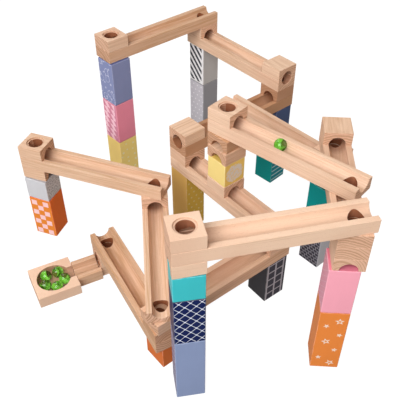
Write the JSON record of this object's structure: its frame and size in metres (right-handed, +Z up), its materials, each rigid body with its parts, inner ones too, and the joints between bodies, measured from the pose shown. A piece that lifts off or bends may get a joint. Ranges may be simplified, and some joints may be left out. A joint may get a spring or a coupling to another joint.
{
  "type": "wooden marble run",
  "caption": "Wooden marble run of stacked painted blocks, arches and channelled rails that pass a glass marble from high towers down to a tray.",
  "frame": {"origin": "middle of the footprint, on the surface that the towers stand on", "axes": "+Z up, +X to the right and +Y to the back as seen from the front tower"},
  "size_m": [0.4414, 0.5776, 0.2622],
  "materials": {
    "beech": "sanded and lightly oiled beech",
    "green_glass": "clear green glass",
    "paint_yellow": "satin yellow paint over wood",
    "paint_pink": "satin pink paint over wood",
    "paint_violet": "satin violet paint over wood",
    "paint_grey": "satin grey paint over wood",
    "paint_white": "satin white paint over wood",
    "paint_teal": "satin teal paint over wood",
    "paint_navy": "satin navy paint over wood",
    "paint_orange": "satin orange paint over wood",
    "paint_light_grey": "satin light grey paint over wood",
    "paint_olive": "satin olive paint over wood",
    "paint_bright_yellow": "satin bright yellow paint over wood",
    "paint_dark_grey": "satin dark grey paint over wood",
    "paint_lavender": "satin lavender paint over wood",
    "paint_turquoise": "satin turquoise paint over wood",
    "paint_charcoal": "satin charcoal paint over wood"
  },
  "bodies": {
    "towers": {"tower_1_yellow_block": "paint_yellow", "tower_1_pink_block": "paint_pink", "tower_1_violet_block": "paint_violet", "tower_2_grey_block": "paint_grey", "tower_2_white_block": "paint_white", "rail_2_to_3": "beech", "tower_2_drop_arch": "beech", "tower_3_teal_block": "paint_teal", "tower_3_navy_block": "paint_navy", "rail_3_to_5": "beech", "tower_3_drop_arch": "beech", "tower_4_orange_block": "paint_orange", "tower_4_light_grey_block": "paint_light_grey", "tower_4_support_arch": "beech", "tower_5_olive_block": "paint_olive", "rail_5_to_10": "beech", "tower_5_drop_arch": "beech", "tower_6_foot_arch": "beech", "tower_6_lower_arch": "beech", "tower_6_yellow_cube": "paint_bright_yellow", "tower_6_upper_arch": "beech", "tower_7_dark_grey_block": "paint_dark_grey", "tower_7_teal_block": "paint_teal", "rail_7_to_crossing": "beech", "tower_7_support_arch": "beech", "tower_7_drop_arch": "beech", "tower_8_orange_block": "paint_orange", "tower_8_pink_block": "paint_pink", "rail_8_to_7": "beech", "tower_8_support_arch": "beech", "tower_8_drop_arch": "beech", "tower_9_lavender_block": "paint_lavender", "tower_9_navy_block": "paint_navy", "tower_9_turquoise_block": "paint_turquoise", "tower_9_support_arch": "beech", "tower_10_charcoal_block": "paint_charcoal", "rail_10_to_11": "beech", "tower_10_drop_arch": "beech", "tower_11_orange_block": "paint_orange", "rail_11_to_tray": "beech", "tower_11_drop_arch": "beech", "tower_12_yellow_block": "paint_yellow", "rail_12_to_11": "beech", "tower_12_support_arch": "beech", "tower_12_drop_arch": "beech", "drop_cube": "beech", "tray_channel": "beech"},
    "rail_1_to_2_body": {"rail_1_to_2": "beech"},
    "tower_1_start_block_body": {"tower_1_start_block": "beech"},
    "rail_9_to_8_body": {"rail_9_to_8": "beech"},
    "tower_9_start_block_body": {"tower_9_start_block": "beech"},
    "rail_4_to_12_body": {"rail_4_to_12": "beech"},
    "tower_4_start_block_body": {"tower_4_start_block": "beech"},
    "rail_6_to_crossing_body": {"rail_6_to_crossing": "beech"},
    "tower_6_start_block_body": {"tower_6_start_block": "beech"},
    "tower_3_cap_body": {"tower_3_cap": "beech"},
    "tower_5_cap_body": {"tower_5_cap": "beech"},
    "tower_7_cap_body": {"tower_7_cap": "beech"},
    "tray_body": {"tray": "beech"},
    "marble_body": {"marble": "green_glass"}
  },
  "joints": [
    {"name": "rail_1_to_2_lift", "type": "slide", "parent": "towers", "child": "rail_1_to_2_body", "axis": [0, 0, 1], "range_m": [0, 0.04]},
    {"name": "tower_1_start_block_lift", "type": "slide", "parent": "rail_1_to_2_body", "child": "tower_1_start_block_body", "axis": [0, 0, 1], "range_m": [0, 0.03]},
    {"name": "rail_9_to_8_lift", "type": "slide", "parent": "towers", "child": "rail_9_to_8_body", "axis": [0, 0, 1], "range_m": [0, 0.04]},
    {"name": "tower_9_start_block_lift", "type": "slide", "parent": "rail_9_to_8_body", "child": "tower_9_start_block_body", "axis": [0, 0, 1], "range_m": [0, 0.03]},
    {"name": "rail_4_to_12_lift", "type": "slide", "parent": "towers", "child": "rail_4_to_12_body", "axis": [0, 0, 1], "range_m": [0, 0.04]},
    {"name": "tower_4_start_block_lift", "type": "slide", "parent": "rail_4_to_12_body", "child": "tower_4_start_block_body", "axis": [0, 0, 1], "range_m": [0, 0.03]},
    {"name": "rail_6_to_crossing_lift", "type": "slide", "parent": "towers", "child": "rail_6_to_crossing_body", "axis": [0, 0, 1], "range_m": [0, 0.04]},
    {"name": "tower_6_start_block_lift", "type": "slide", "parent": "rail_6_to_crossing_body", "child": "tower_6_start_block_body", "axis": [0, 0, 1], "range_m": [0, 0.03]},
    {"name": "tower_3_cap_lift", "type": "slide", "parent": "towers", "child": "tower_3_cap_body", "axis": [0, 0, 1], "range_m": [0, 0.02]},
    {"name": "tower_5_cap_lift", "type": "slide", "parent": "towers", "child": "tower_5_cap_body", "axis": [0, 0, 1], "range_m": [0, 0.02]},
    {"name": "tower_7_cap_lift", "type": "slide", "parent": "towers", "child": "tower_7_cap_body", "axis": [0, 0, 1], "range_m": [0, 0.02]},
    {"name": "tray_pull", "type": "slide", "parent": "towers", "child": "tray_body", "axis": [-0.8918, -0.4524, 0], "range_m": [0, 0.06]},
    {"name": "marble_roll", "type": "slide", "parent": "rail_6_to_crossing_body", "child": "marble_body", "axis": [0.7536, -0.6574, 0], "range_m": [-0.076, 0.082]}
  ]
}
